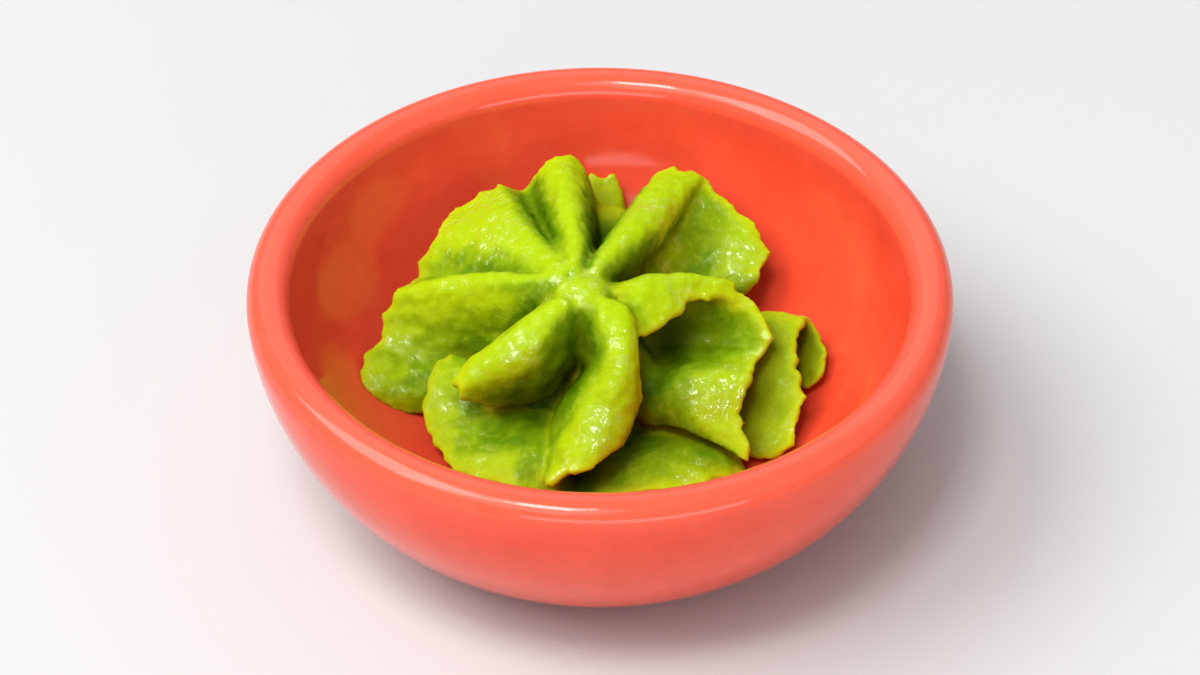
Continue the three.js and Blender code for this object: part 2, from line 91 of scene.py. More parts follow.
# Each fold is one sheet of paste. It springs from its root and runs over its ribs in turn.
# A point is (bearing, reach, height): degrees from +X and millimetres from the hub, then
# millimetres above the table. The last point of a rib lies on the torn edge, and "open" says
# whether the sheet's first and last ribs are torn edges too. "thin" is how strongly the whole
# fold gets the painted glow of light shining through it, from 0 to 1.
FOLDS = {
    "left_frill": {
        "root": (120, 2, 22.8),
        "open": (False, False),
        "thin": 0,
        "ribs": [
            [(84, 6.5, 17), (84, 13, 14), (84, 22, 12)],
            [(90, 6.5, 21.6), (89, 14, 20.8), (90, 24.5, 19.8)],
            [(96, 6.5, 23.4), (95, 14, 23), (96, 25, 21.8)],
            [(103, 6.5, 22.7), (102, 14, 22), (101, 25, 20.5)],
            [(110, 6.5, 20.5), (108, 14, 19), (106, 24, 18)],
            [(118, 6.5, 22.1), (117, 14, 21.4), (114, 23.5, 19.8)],
            [(130, 6.5, 22), (128, 14, 21), (125, 24, 18.6)],
            [(138, 6.5, 21.4), (137, 14, 19.5), (137, 23.5, 16.8)],
            [(147, 6.5, 20.5), (147, 13, 17.6), (148, 22, 14.5)],
            [(157, 6.5, 21.8), (158, 12.5, 20.4), (160, 21.9, 16.2)],
            [(165, 7, 20.2), (164, 12.5, 18.2), (164, 22.4, 14.8)],
            [(171, 7, 16), (168, 12.8, 14.8), (168, 23, 13.4)],
            [(178, 7.4, 11.6), (174, 13.2, 11.4), (174, 23.8, 12.2)],
            [(186, 6.6, 9.4), (182, 14.5, 10.6), (179, 24.2, 11.8)],
            [(192, 7.5, 9), (188, 14.5, 9.6), (186, 24.5, 10.4)],
            [(194, 8.5, 7.5), (191, 14, 7.8), (189, 21, 7.6)],
        ],
    },
    "tongue_left": {
        "root": (-125, 2.5, 22.6),
        "open": (True, False),
        "thin": 0,
        "ribs": [
            [(-168, 4, 21.5), (-157, 9, 19.5), (-159, 14, 16)],
            [(-146, 4, 22.1), (-144, 9.5, 20.2), (-149, 16, 15.6)],
            [(-128, 4.5, 21.8), (-131, 9.5, 19.4), (-146, 15, 14)],
            [(-118, 4, 19.3), (-126, 8, 16.2), (-145, 12.8, 12.4)],
            [(-115, 4, 15.5), (-126, 6.8, 12.5), (-150, 9.8, 10.4)],
        ],
    },
    "lobe_left": {
        "root": (-150, 5, 9.5),
        "open": (False, False),
        "thin": 0,
        "ribs": [
            [(-166, 10, 12.8), (178, 13.5, 12.6)],
            [(-164, 11.5, 12.6), (180, 15.5, 13.2)],
            [(-156, 12.5, 11.6), (-170, 17.5, 12)],
            [(-145, 13, 10), (-159, 18.5, 10.2)],
            [(-135, 13.5, 9.6), (-150, 19, 8.8)],
            [(-125, 14, 10.2), (-136, 19, 8.6)],
            [(-110, 13.5, 10.2), (-117, 19, 8.6)],
            [(-98, 11.5, 9), (-100, 17.5, 7.6)],
        ],
    },
    "tongue_front": {
        "root": (-40, 2, 22.4),
        "open": (True, True),
        "thin": 0,
        "ribs": [
            [(-98, 3, 15.8), (-98, 4.4, 12), (-113, 7.2, 10.4), (-104, 16, 9.6)],
            [(-74, 3.6, 19.6), (-79, 5.2, 16), (-103, 8.5, 13.2), (-102, 18, 10.4)],
            [(-62, 4.7, 21.8), (-72, 7.4, 19), (-92, 10.6, 15.4), (-95, 18.3, 12)],
            [(-49, 5.6, 22.2), (-67, 9.4, 20.2), (-80, 12.6, 16.6), (-87, 17.3, 13)],
            [(-38, 5.8, 22), (-61, 10.2, 19.8), (-70, 13, 16.2), (-78, 15.6, 13)],
            [(-28, 5.6, 20.6), (-55, 10.2, 18.2), (-63, 12, 14.6), (-73, 13.6, 12.2)],
        ],
    },
    "lobe_right": {
        "root": (-50, 7, 6.6),
        "open": (False, False),
        "thin": 0,
        "ribs": [
            [(-88, 9.5, 6.6), (-95, 12, 7), (-100, 16.5, 6.8)],
            [(-68, 9.5, 6.8), (-77, 12.5, 7.8), (-85, 17.5, 7.5)],
            [(-46, 9, 7), (-57, 12, 8.4), (-70, 17.6, 8)],
            [(-34, 12, 7.1), (-45, 15.5, 8.7), (-55, 19.3, 8)],
            [(-28, 15.2, 7.1), (-37, 18, 8.4), (-43, 20.8, 7.8)],
            [(-27, 18, 6.9), (-31, 19.6, 7.3), (-34, 21.2, 7)],
        ],
    },
    "lip": {
        "root": (5, 2, 22.4),
        "open": (True, False),
        "thin": 0,
        "ribs": [
            [(12, 4.5, 22.5), (-2, 4.2, 22.6), (-24, 4.6, 21.5)],
            [(14, 6.8, 22.4), (-3, 6.2, 22.1), (-36, 8, 20.4)],
            [(15, 9.5, 21.9), (5, 9, 21.7), (-10, 10.2, 20.3)],
            [(15, 12.5, 21.3), (11, 12, 21.1), (5, 13, 20.4)],
            [(13, 16, 20.2), (11, 16, 20), (8, 16.4, 19.7)],
        ],
    },
    "trumpet": {
        "root": (5, 2, 22.6),
        "open": (False, False),
        "thin": 0,
        "ribs": [
            [(18, 5, 22.1), (16, 10.5, 21.3), (11, 17, 19.9)],
            [(22, 6, 19.5), (15, 12.5, 19), (5, 19.6, 19)],
            [(19, 7, 15), (8, 13.5, 14.2), (-5, 20.5, 16.9)],
            [(2, 7, 13.2), (-7, 13, 14), (-10, 20, 15.7)],
            [(-18, 7.5, 13.6), (-22, 13, 14.8), (-20, 19.2, 14.9)],
            [(-36, 8, 13.6), (-32, 13.4, 14.1), (-26, 19.5, 13.3)],
            [(-42, 8.4, 12), (-37, 13.5, 12.4), (-33, 21, 11.8)],
            [(-43, 8, 10.2), (-38, 14.2, 10.6), (-38, 22.4, 10.2)],
        ],
    },
    "cup": {
        "root": (-20, 6, 9),
        "open": (False, False),
        "thin": 0.5,
        "ribs": [
            [(-42, 10, 8.4), (-33, 17, 7.8), (-29, 23, 8.2)],
            [(-20, 10, 9), (-19, 18, 9.4), (-25, 25, 10.2)],
            [(-8, 11, 10.8), (-9, 19, 11.4), (-14, 24.6, 12.6)],
            [(4, 12, 12.6), (0, 19.5, 13.8), (-3, 23.5, 15)],
            [(14, 12, 13), (9, 20, 14.8), (6, 23.6, 15.4)],
            [(20, 12, 12), (17, 20.5, 13.6), (12, 25.6, 14)],
            [(22, 12, 10.4), (18, 21, 11.4), (5, 27, 13)],
            [(20, 12, 9), (14, 21, 9.6), (-2, 26.5, 11.8)],
            [(14, 12, 8), (6, 20.5, 8.6), (-4, 24.8, 10)],
        ],
    },
    "fan_right": {
        "root": (60, 2, 22.8),
        "open": (False, False),
        "thin": 0,
        "ribs": [
            [(77, 6, 17.5), (77, 14, 15), (76, 23, 13)],
            [(71, 6, 21.9), (72, 14, 20.8), (71, 25, 19.2)],
            [(64, 6, 23.2), (65, 13, 23), (66, 25, 21.2)],
            [(56, 6, 22.4), (55, 13, 22.2), (60, 25.5, 21)],
            [(55, 6.5, 18.8), (57, 13, 17.8), (58, 26, 20.2)],
            [(48, 7, 15), (50, 16, 14.8), (50, 26, 19.2)],
            [(41, 7.5, 13.4), (43, 17, 14.2), (42, 25.5, 17.6)],
            [(36, 8, 13.2), (38, 17, 14.4), (35, 25, 16)],
            [(33, 8, 12), (36, 15.5, 13), (31, 23, 15)],
            [(32, 8, 10.5), (35, 15, 11.2), (32, 21, 12.4)],
        ],
    },
    "petal_back": {
        "root": (83, 8, 13),
        "open": (True, True),
        "thin": 1.0,
        "ribs": [
            [(87, 20.5, 15), (89, 23, 13.4), (91, 25.5, 14)],
            [(84, 20.5, 16), (86.5, 23, 14.2), (88.5, 27, 16.9)],
            [(81, 20.5, 16.3), (83.5, 23, 14.4), (85.5, 27.2, 17.2)],
            [(78, 20.5, 16), (80.5, 23, 14.2), (82, 26.6, 16.8)],
            [(75, 20.5, 14.8), (78, 22.5, 13.2), (79.5, 24.8, 14.2)],
        ],
    },
    "lobe_back_left": {
        "root": (125, 7, 9.5),
        "open": (False, False),
        "thin": 0,
        "ribs": [
            [(97, 13, 10.5), (95, 20, 11)],
            [(108, 14, 13), (108, 22, 12.2)],
            [(120, 14, 11), (120, 21, 10.6)],
            [(132, 14, 13), (132, 22, 12.4)],
            [(144, 14, 11), (145, 21, 10.8)],
            [(154, 13, 9.5), (156, 19.5, 9.4)],
        ],
    },
    "lobe_back_right": {
        "root": (52, 7, 9.5),
        "open": (False, False),
        "thin": 0,
        "ribs": [
            [(72, 13, 10.5), (74, 19.5, 11.2)],
            [(62, 14, 13), (62, 22, 12.6)],
            [(51, 14, 11), (51, 21, 10.8)],
            [(40, 14, 12.6), (40, 22, 12.4)],
            [(30, 13, 9.6), (29, 20.5, 10.2)],
        ],
    },
}

# The solid middle of the rosette: a mound round the hub, and a shoulder behind it that carries
# the tall folds at the back. An outline holds (radius, height) points, and "set" is its axis from
# the hub, across and back.
MOUNDS = [
    {
        "set": (0, 0),
        "outline": [
            *[(0, 5.6), (9.5, 5.9), (10.2, 6.8), (7.4, 9), (5, 12), (3.7, 15.5), (3.1, 19)],
            *[(3.3, 21.9), (3, 22.9), (1.9, 23.6), (0, 24)],
        ],
    },
    {
        "set": (-0.8, 3),
        "outline": [(0, 6.2), (5.6, 6.6), (5.8, 12), (5.2, 17), (4.7, 20.4), (3.5, 22.2), (0, 23)],
    },
]

TEETH = [(2.3, 0.36), (1.1, 0.5), (0.5, 0.26)]  # pitch and height of the torn edge's waves
TEAR_START = 0.82  # share of the way to the edge where the tearing starts to show
TEAR_POWER = 1.5  # how fast the tearing grows towards the edge
SIDE_TEAR_COLUMNS = 6
SIDE_TEAR_START = 0.25  # share of the way along a side edge where its teeth reach full height
EDGE_REACH = 3  # rows or columns back from an edge that say which way is outward
TEAR_SEED = 11
SOFTEN_PASSES = 3
SOFTEN_FACTOR = 0.5
LUMPS = [(3.2, 0.14), (1.5, 0.16), (0.8, 0.08)]  # size and height of the paste's unevenness
SKY_RAYS = 24
SKY_REACH = 7.0
SKY_LIFT = 0.15  # how far above the surface a ray starts
SKY_TILT = 1.05  # over 1, so that no ray points into the surface
SKY_SEED = 5
SKY_BLEND_PASSES = 4
# width in mm of the painted glow along the torn edges
EDGE_GLOW_WIDTH = 1.0
WET_PATCHES = [  # where the paste has sweated: bearing, reach, height and radius
    (124, 22, 19.5, 5.5),
    (130, 15, 21, 4.5),
    (136, 1, 24, 4.5),
    (-133, 10, 20.5, 3),
    (-81, 14.5, 15.5, 3.5),
    (-98, 17.5, 12, 2.5),
    (-76, 7.5, 21, 2.5),
    (-26, 16, 15, 4.5),
    (2, 10.5, 21.5, 3),
    (58, 15.5, 23, 4),
    (38, 22, 15, 4),
]

# ------------------------------------------------------------------ colours, linear

GLAZE = (0.80, 0.078, 0.034)
GLAZE_DEEP = (0.74, 0.060, 0.024)
GLAZE_THIN = (0.84, 0.12, 0.07)
CLAY = (0.55, 0.42, 0.30)
CLAY_DARK = (0.42, 0.30, 0.20)
# The paste is painted lighter and darker by how much sky each point sees. This is painted shade,
# running from the full colour on open ridges through the face and shade colours to near
# black-green in deep valleys.
PASTE = (0.33, 0.475, 0.001)
PASTE_PAINTED_FACE_SHADE = (0.195, 0.315, 0.0008)
PASTE_SHADE = (0.105, 0.215, 0.0006)
PASTE_PAINTED_VALLEY_SHADE = (0.016, 0.04, 0.0003)
PASTE_PALE = (0.34, 0.47, 0.004)
# Painted glow: the yellow of light shining through the paste where it is torn thin.
PASTE_PAINTED_GLOW = (0.50, 0.55, 0.003)
PASTE_FLECK = (0.5, 0.65, 0.03)
FLOOR_TONE = 0.545

# ------------------------------------------------------------------ camera

CAMERA_ELEVATION = 41.12  # degrees
CAMERA_DISTANCE = 0.45
CAMERA_TARGET_HEIGHT = 0.01775
CAMERA_LENS = 123.4  # mm
SENSOR_WIDTH = 36  # mm

# ------------------------------------------------------------------ light

FLOOR_HALF = 2.0  # metres, as are the softboxes' places and sizes
LIGHT_TARGET = (0, 0, 0.015)
SOFTBOXES = [  # name, place, size and watts
    ("key", (-0.82, -0.06, 1.06), (1.00, 0.80), 14.2),
    ("front_left", (-0.44, -0.56, 1.14), (1.10, 0.80), 6.5),
    ("sparkle", (-0.20, -0.40, 1.20), (0.30, 0.30), 6.0),
    ("front_low", (0.20, -1.10, 0.25), (1.40, 0.35), 5.5),
    ("right_fill", (0.95, -0.45, 0.60), (0.80, 0.80), 0.9),
    ("back", (-0.10, 0.95, 0.95), (1.60, 0.90), 3.5),
]
WORLD_COLOUR = (0.97, 0.98, 1.0)
WORLD_STRENGTH = 0.32


# ------------------------------------------------------------------ meshes


def new_object(name, points, faces):
    """A mesh object from points in millimetres, shaded smooth."""
    mesh = bpy.data.meshes.new(name)
    mesh.from_pydata([tuple(p) for p in np.asarray(points, float) * MM], [], faces)
    mesh.update()
    mesh.shade_smooth()
    made = bpy.data.objects.new(name, mesh)
    bpy.context.scene.collection.objects.link(made)
    return made


def lathe(name, outline, segments):
    """A closed body turned round +Z. Its (radius, height) outline starts and ends on the axis."""
    turns = [2 * math.pi * k / segments for k in range(segments)]
    points = [(r * math.cos(t), r * math.sin(t), z) for r, z in outline for t in turns]
    faces = []
    for ring in range(len(outline) - 1):
        for k in range(segments):
            a, b = ring * segments + k, ring * segments + (k + 1) % segments
            faces.append((a, b, b + segments, a + segments))
    made = new_object(name, points, faces)
    welded = bmesh.new()
    welded.from_mesh(made.data)
    bmesh.ops.remove_doubles(welded, verts=welded.verts, dist=WELD_DISTANCE)
    bmesh.ops.recalc_face_normals(welded, faces=welded.faces)
    welded.to_mesh(made.data)
    welded.free()
    made.data.shade_smooth()
    return made


def join(objects, name):
    """The objects' meshes as one object."""
    merged = bmesh.new()
    for item in objects:
        merged.from_mesh(item.data)
        bpy.data.objects.remove(item)
    mesh = bpy.data.meshes.new(name)
    merged.to_mesh(mesh)
    merged.free()
    made = bpy.data.objects.new(name, mesh)
    bpy.context.scene.collection.objects.link(made)
    return made


def apply_modifiers(item):
    """Puts the result of an object's modifiers into its own mesh."""
    evaluated = item.evaluated_get(bpy.context.evaluated_depsgraph_get())
    mesh = bpy.data.meshes.new_from_object(evaluated)
    item.modifiers.clear()
    item.data = mesh
    mesh.shade_smooth()


def store(mesh, name, values):
    """Keeps one number for each vertex, for the materials to read."""
    attribute = mesh.attributes.new(name, "FLOAT", "POINT")
    attribute.data.foreach_set("value", np.asarray(values, np.float32))


def vertex_array(mesh, what):
    """The mesh's vertex "co" or "normal" as an array."""
    values = np.empty(len(mesh.vertices) * 3, np.float32)
    mesh.vertices.foreach_get(what, values)
    return values.reshape(-1, 3).astype(float)


# ------------------------------------------------------------------ bowl


def wall_outline(start, end, swell, steps):
    """A quarter of a superellipse, which leaves the level at start and ends upright at end."""
    points = []
    for step in range(steps + 1):
        turn = math.pi / 2 * step / steps
        outward = math.sin(turn) ** (2 / swell)
        upward = 1 - max(math.cos(turn), 0) ** (2 / swell)
        radius = start[0] + (end[0] - start[0]) * outward
        height = start[1] + (end[1] - start[1]) * upward
        points.append((radius, height))
    return points


def arc(middle, radius, start, end, steps):
    """Points on an arc, without its ends. Angles are in degrees, from outward through up."""
    turns = [math.radians(start + (end - start) * (k + 1) / steps) for k in range(steps - 1)]
    return [(middle[0] + radius * math.cos(t), middle[1] + radius * math.sin(t)) for t in turns]


def make_bowl():
    """The bowl, drawn from the middle of its underside, up the outside and down to the floor."""
    foot_edge = (FOOT_OUTER_RADIUS + FOOT_BEVEL, FOOT_HEIGHT)
    floor_edge = (FLOOR_RADIUS, FLOOR_HEIGHT)
    inside = wall_outline(floor_edge, (MOUTH_RADIUS, LIP_HEIGHT), INNER_SWELL, WALL_STEPS)
    outline = [
        *[(FOOT_INNER_RADIUS * share, FOOT_HEIGHT) for share in (0, *RING_SHARES)],
        (FOOT_INNER_RADIUS - FOOT_BEVEL, FOOT_HEIGHT),
        (FOOT_INNER_RADIUS - FOOT_BEVEL / 4, FOOT_BEVEL / 3),
        (FOOT_INNER_RADIUS, 0),
        (FOOT_OUTER_RADIUS, 0),
        (FOOT_OUTER_RADIUS + FOOT_BEVEL / 4, FOOT_BEVEL / 3),
        *wall_outline(foot_edge, (RIM_RADIUS, LIP_HEIGHT), OUTER_SWELL, WALL_STEPS),
        *arc((RIM_RADIUS - LIP_RADIUS, LIP_HEIGHT), LIP_RADIUS, 0, 180, LIP_STEPS),
        *reversed(inside),
        *[(FLOOR_RADIUS * share, FLOOR_HEIGHT) for share in (*reversed(RING_SHARES), 0)],
    ]
    return lathe("bowl_glazed", outline, BOWL_SEGMENTS)


# ------------------------------------------------------------------ rosette


def place(point):
    """A (bearing, reach, height) point round the hub as x, y and z."""
    bearing, reach, height = point
    turn = math.radians(bearing)
    return HUB[0] + reach * math.cos(turn), HUB[1] + reach * math.sin(turn), height


def smooth(points, steps):
    """Points on a Catmull-Rom curve through the given ones, which may be rows of points."""
    points = np.asarray(points, float)
    before, after = 2 * points[:1] - points[1:2], 2 * points[-1:] - points[-2:-1]
    p = np.concatenate([before, points, after])
    made = []
    for i in range(len(points) - 1):
        a, b, c, d = p[i : i + 4]
        for step in range(steps):
            t = step / steps
            bend = (2 * a - 5 * b + 4 * c - d) * t**2
            twist = (3 * b - a - 3 * c + d) * t**3
            made.append(0.5 * (2 * b + (c - a) * t + bend + twist))
    return np.array([*made, points[-1]])


def fold_sheet(fold):
    """The middle surface of a fold as rows of points, from its root to its edge."""
    root = np.array(place(fold["root"]))
    ribs = np.array([[place(point) for point in rib] for rib in fold["ribs"]])
    start = root + (ribs[:, 0] - root) * ROOT_START
    ribs = np.concatenate([start[:, None], ribs], axis=1)
    return smooth(np.swapaxes(smooth(ribs, STEPS_ACROSS), 0, 1), STEPS_ALONG)


def unit(vectors):
    """Vectors at length 1."""
    return vectors / np.maximum(np.linalg.norm(vectors, axis=-1, keepdims=True), 1e-9)


def travelled(line):
    """The distance along a line of points, at each of them."""
    return np.concatenate([[0], np.cumsum(np.linalg.norm(np.diff(line, axis=0), axis=1))])


def jagged(distance, draw):
    """Random torn teeth along an edge, in millimetres, as coarse, middle and fine waves."""
    total = np.zeros(len(distance))
    for pitch, height in TEETH:
        knots = draw.uniform(-1, 1, int(distance[-1] / pitch) + 3)
        total += height * np.interp(distance / pitch, np.arange(len(knots)), knots)
    return total


def tear_edges(sheet, fold, draw):
    """Moves a sheet's open edges in and out, and the surface beside them along with them."""
    rows = len(sheet)
    torn = sheet.copy()
    outward = unit(sheet[-1] - sheet[-1 - EDGE_REACH])
    teeth = jagged(travelled(sheet[-1]), draw)
    share = np.clip((np.linspace(0, 1, rows) - TEAR_START) / (1 - TEAR_START), 0, 1) ** TEAR_POWER
    torn += share[:, None, None] * (teeth[:, None] * outward)[None]
    for side, is_open in zip((0, -1), fold["open"]):
        if is_open:
            inner = EDGE_REACH if side == 0 else -1 - EDGE_REACH
            outward = unit(sheet[:, side] - sheet[:, inner])
            teeth = jagged(travelled(sheet[:, side]), draw)
            teeth *= np.clip(np.linspace(0, 1, rows) / SIDE_TEAR_START, 0, 1)
            for k in range(SIDE_TEAR_COLUMNS):
                column = k if side == 0 else -1 - k
                fade = (1 - k / SIDE_TEAR_COLUMNS) ** TEAR_POWER
                torn[:, column] += (teeth[:, None] * outward) * fade
    return torn


def sheet_thickness(sheet, fold):
    """The thickness at each point of a sheet, which is thin at its torn edges."""
    rows, columns = sheet.shape[:2]
    shoulder = (MIDDLE_THICKNESS + EDGE_THICKNESS) / 2
    shares = [0, MIDDLE_SHARE, SHOULDER_SHARE, 1]
    depths = [ROOT_THICKNESS, MIDDLE_THICKNESS, shoulder, EDGE_THICKNESS]
    along = np.interp(np.linspace(0, 1, rows), shares, depths)
    thickness = np.repeat(along[:, None], columns, axis=1)
    for side, is_open in zip((0, -1), fold["open"]):
        if is_open:
            steps = np.arange(columns) if side == 0 else np.arange(columns)[::-1]
            inward = EDGE_THICKNESS + (MIDDLE_THICKNESS - EDGE_THICKNESS) * steps / STEPS_ACROSS
            thickness = np.minimum(thickness, inward[None])
    return thickness


def thicken(name, sheet, fold):
    """A closed solid round a sheet."""
    rows, columns = sheet.shape[:2]
    normal = unit(np.cross(np.gradient(sheet, axis=1), np.gradient(sheet, axis=0)))
    offset = normal * sheet_thickness(sheet, fold)[..., None] / 2
    points = np.concatenate([(sheet + offset).reshape(-1, 3), (sheet - offset).reshape(-1, 3)])
    behind = rows * columns
    faces = []
    for row in range(rows - 1):
        for column in range(columns - 1):
            a = row * columns + column
            b, c, d = a + 1, a + columns + 1, a + columns
            faces.append((a, b, c, d))
            faces.append((a + behind, d + behind, c + behind, b + behind))
    first_row = list(range(columns - 1))
    last_column = [row * columns + columns - 1 for row in range(rows - 1)]
    last_row = [rows * columns - 1 - k for k in range(columns - 1)]
    first_column = [row * columns for row in range(rows - 1, 0, -1)]
    rim = [*first_row, *last_column, *last_row, *first_column]
    for a, b in zip(rim, rim[1:] + rim[:1]):
        faces.append((b, a, a + behind, b + behind))
    return new_object(name, points, faces)


def wall_radius(height):
    """The inside radius of the bowl at a height, for arrays."""
    share = np.clip((height - FLOOR_HEIGHT) / (LIP_HEIGHT - FLOOR_HEIGHT), 0, 1)
    swell = (1 - (1 - share) ** INNER_SWELL) ** (1 / INNER_SWELL)
    return FLOOR_RADIUS + (MOUTH_RADIUS - FLOOR_RADIUS) * swell


def keep_in_bowl(points):
    """Presses points that reach into the bowl back onto its inside."""
    kept = points.copy()
    kept[:, 2] = np.maximum(kept[:, 2], FLOOR_HEIGHT + TOUCH_GAP)
    reach = np.hypot(kept[:, 0], kept[:, 1])
    limit = wall_radius(kept[:, 2]) - TOUCH_GAP
    shrink = np.minimum(1, limit / np.maximum(reach, 1e-6))
    kept[:, :2] *= shrink[:, None]
    return kept


def relief(points):
    """How far the paste's lumps stand out of its surface, in millimetres."""
    heights = []
    for point in points:
        spot = Vector(point)
        heights.append(sum(height * noise.noise(spot / size) for size, height in LUMPS))
    return np.array(heights)


def openness(item, points, normals):
    """The share of the sky that each point sees past the paste near it, from 0 to 1."""
    tree = BVHTree.FromObject(item, bpy.context.evaluated_depsgraph_get())
    draw = np.random.default_rng(SKY_SEED)
    rays = unit(draw.normal(size=(SKY_RAYS, 3)))
    seen = []
    for point, normal in zip(points * MM, normals):
        start = Vector(point + normal * SKY_LIFT * MM)
        free = 0
        for ray in rays:
            direction = unit(ray + normal * SKY_TILT)
            free += tree.ray_cast(start, Vector(direction), SKY_REACH * MM)[0] is None
        seen.append(free / SKY_RAYS)
    return np.array(seen)


def blended(mesh, values, passes):
    """Values evened out between neighbouring vertices."""
    pairs = np.empty(len(mesh.edges) * 2, np.int32)
    mesh.edges.foreach_get("vertices", pairs)
    one, other = pairs.reshape(-1, 2).T
    for _ in range(passes):
        total = values.copy()
        np.add.at(total, one, values[other])
        np.add.at(total, other, values[one])
        count = 1 + np.bincount(pairs, minlength=len(values))
        values = total / count
    return values


def nearness(points, targets, width):
    """1 at a target point, falling to 0 about twice the width away."""
    tree = KDTree(len(targets))
    for i, target in enumerate(targets):
        tree.insert(target, i)
    tree.balance()
    distance = np.array([tree.find(point)[2] for point in points])
    return np.exp(-((distance / width) ** 2))


def wetness(points):
    """How wet the paste is: 1 over the inner half of a wet patch, 0 outside it."""
    wet = np.zeros(len(points))
    for *middle, radius in WET_PATCHES:
        distance = np.linalg.norm(points - place(middle), axis=1)
        wet = np.maximum(wet, np.clip(2 * (1 - distance / radius), 0, 1))
    return wet


def make_rosette():
    """The folds and mounds as one skin of paste, with what its material reads at each vertex."""
    draw = np.random.default_rng(TEAR_SEED)
    solids = []
    edges = []
    thin = {}
    for name, fold in FOLDS.items():
        sheet = tear_edges(fold_sheet(fold), fold, draw)
        clear_of_hub = sheet[len(sheet) // 3 :]
        edges.extend(sheet[-1])
        for side, is_open in zip((0, -1), fold["open"]):
            if is_open:
                edges.extend(clear_of_hub[:, side])
        # thin folds get the painted glow of light through the paste over their whole surface
        if fold["thin"]:
            thin.setdefault(fold["thin"], []).extend(clear_of_hub.reshape(-1, 3))
        solids.append(thicken(name, sheet, fold))
    for mound in MOUNDS:
        solid = lathe("mound", mound["outline"], MOUND_SEGMENTS)
        across, back = mound["set"]
        solid.data.transform(Matrix.Translation(Vector((HUB[0] + across, HUB[1] + back, 0)) * MM))
        solids.append(solid)
    rosette = join(solids, "wasabi_paste")
    remesh = rosette.modifiers.new("one skin", "REMESH")
    remesh.mode = "VOXEL"
    remesh.voxel_size = VOXEL * MM
    soften = rosette.modifiers.new("soften", "SMOOTH")
    soften.iterations = SOFTEN_PASSES
    soften.factor = SOFTEN_FACTOR
    apply_modifiers(rosette)
    points = vertex_array(rosette.data, "co") / MM
    normals = vertex_array(rosette.data, "normal")
    points = keep_in_bowl(points + normals * relief(points)[:, None])
    rosette.data.vertices.foreach_set("co", (points * MM).ravel())
    rosette.data.update()
    normals = vertex_array(rosette.data, "normal")
    # Painted glow near the torn edges and over thin folds, as of light shining through the paste.
    painted_glow = nearness(points, edges, EDGE_GLOW_WIDTH)
    for share, places in thin.items():
        painted_glow = np.maximum(painted_glow, share * nearness(points, places, MIDDLE_THICKNESS))
    # How much sky each vertex sees, which the paste's colour turns into painted shade in its
    # hollows.
    sky = blended(rosette.data, openness(rosette, points, normals), SKY_BLEND_PASSES)
    store(rosette.data, "edge", painted_glow)
    store(rosette.data, "wet", wetness(points))
    store(rosette.data, "sky", sky)
    return rosette


# ------------------------------------------------------------------ materials


class Nodes:
    """A material's nodes, made and linked in short lines."""

    def __init__(self, name):
        self.material = bpy.data.materials.new(name)
        self.material.use_nodes = True
        self.tree = self.material.node_tree
        self.shader = self.tree.nodes["Principled BSDF"]

    def add(self, kind, settings=None, **inputs):
        """A new node, with its settings and its inputs by name."""
        node = self.tree.nodes.new("ShaderNode" + kind)
        for name, value in (settings or {}).items():
            setattr(node, name, value)
        for name, value in inputs.items():
            self.feed(node.inputs[name.replace("_", " ")], value)
        return node

    def feed(self, socket, value):
        """Links a socket to another, or sets its value."""
        if isinstance(value, bpy.types.NodeSocket):
            self.tree.links.new(value, socket)
        else:
            socket.default_value = value

    def noise(self, size, detail=2.0, place=None):
        """Noise whose features are about size millimetres across."""
        if place is None:
            place = self.add("TexCoord").outputs["Object"]
        node = self.add("TexNoise", Vector=place, Scale=1 / (size * MM), Detail=detail)
        return node.outputs["Fac"]

    def ramp(self, value, stops):
        """Colours or greys along a value, as (position, colour) pairs."""
        node = self.add("ValToRGB", Fac=value)
        ramp = node.color_ramp
        while len(ramp.elements) < len(stops):
            ramp.elements.new(0.5)
        for element, (position, colour) in zip(ramp.elements, stops):
            element.position = position
            shades = colour if isinstance(colour, tuple) else (colour, colour, colour)
            element.color = (*shades, 1)
        return node.outputs["Color"]

    def band(self, height, limits, top):
        """0 up to the first of two heights in millimetres, rising to top at the second."""
        first, second = (limit * MM for limit in limits)
        node = self.add("MapRange", Value=height, From_Min=first, From_Max=second, To_Max=top)
        return node.outputs[0]

    def mix(self, share, one, other, blend="MIX"):
        """Two colours mixed, or blended in another way, by a share."""
        node = self.add("Mix", {"data_type": "RGBA", "blend_type": blend})
        self.feed(node.inputs[0], share)
        self.feed(node.inputs[6], one)
        self.feed(node.inputs[7], other)
        return node.outputs[2]

    def math(self, operation, one, other):
        """Two numbers put together, such as multiplied."""
        node = self.add("Math", {"operation": operation})
        self.feed(node.inputs[0], one)
        self.feed(node.inputs[1], other)
        return node.outputs[0]

    def bump(self, height, distance, under=None):
        """A normal from a height field in millimetres, on top of another normal."""
        node = self.add("Bump", Height=height, Distance=distance * MM, Strength=1.0)
        if under is not None:
            self.feed(node.inputs["Normal"], under)
        return node.outputs["Normal"]


